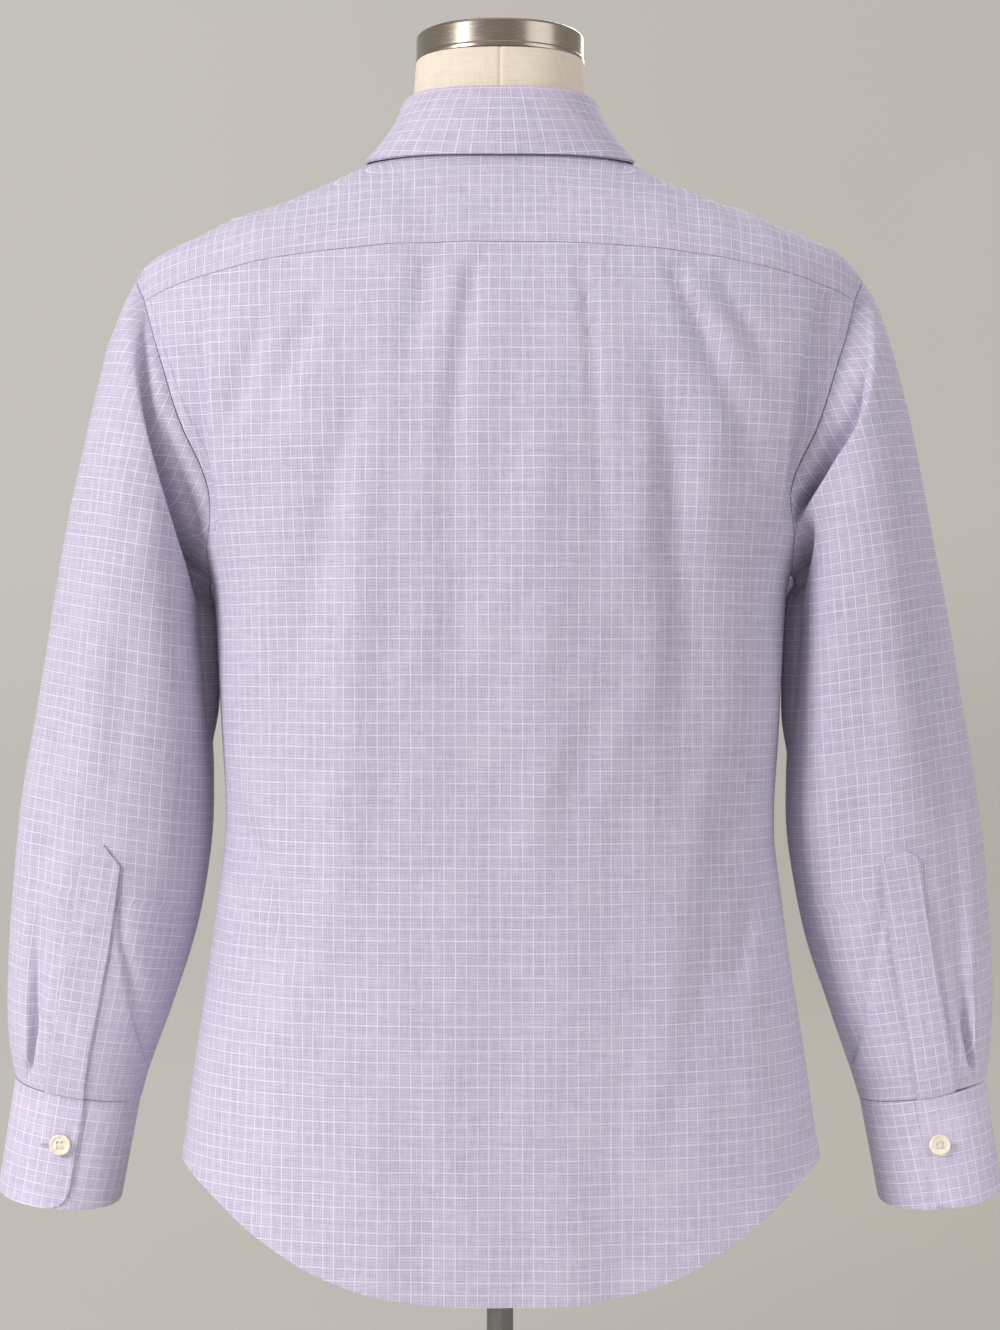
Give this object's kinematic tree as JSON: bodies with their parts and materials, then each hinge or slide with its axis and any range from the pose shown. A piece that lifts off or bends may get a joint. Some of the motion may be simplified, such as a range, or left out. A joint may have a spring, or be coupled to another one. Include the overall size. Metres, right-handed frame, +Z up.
{
  "type": "long sleeve dress shirt on a limbless dress form",
  "caption": "Checked long sleeve dress shirt, filled out and buttoned, with yoke, collar, cuffs and shirttail hem, on a limbless dress form with a round base.",
  "frame": {"origin": "centre of the underside of the stand's round base, on the floor", "axes": "+Z up; -Y the way the wearer faces, so the shirt's back is towards +Y; +X the wearer's left"},
  "size_m": [0.6846, 0.28, 0.9835],
  "materials": {
    "cloth": "fine lavender cotton with a small white check",
    "button": "polished cream",
    "linen": "natural linen, matt",
    "nickel": "brushed satin nickel",
    "steel": "satin dark grey"
  },
  "bodies": {
    "root": {"back": "cloth", "yoke": "cloth", "front_left": "cloth", "front_right": "cloth", "sleeve_left": "cloth", "sleeve_right": "cloth", "placket_left": "cloth", "placket_right": "cloth", "cuff_left": "cloth", "cuff_right": "cloth", "collar_stand": "cloth", "collar_leaf": "cloth", "button_front_1": "button", "button_front_2": "button", "button_front_3": "button", "button_front_4": "button", "button_front_5": "button", "button_front_6": "button", "button_front_7": "button", "button_collar": "button", "button_cuff_left": "button", "button_cuff_right": "button", "form_torso": "linen", "form_cap": "nickel", "form_pole": "steel", "form_base": "steel"}
  },
  "joints": []
}
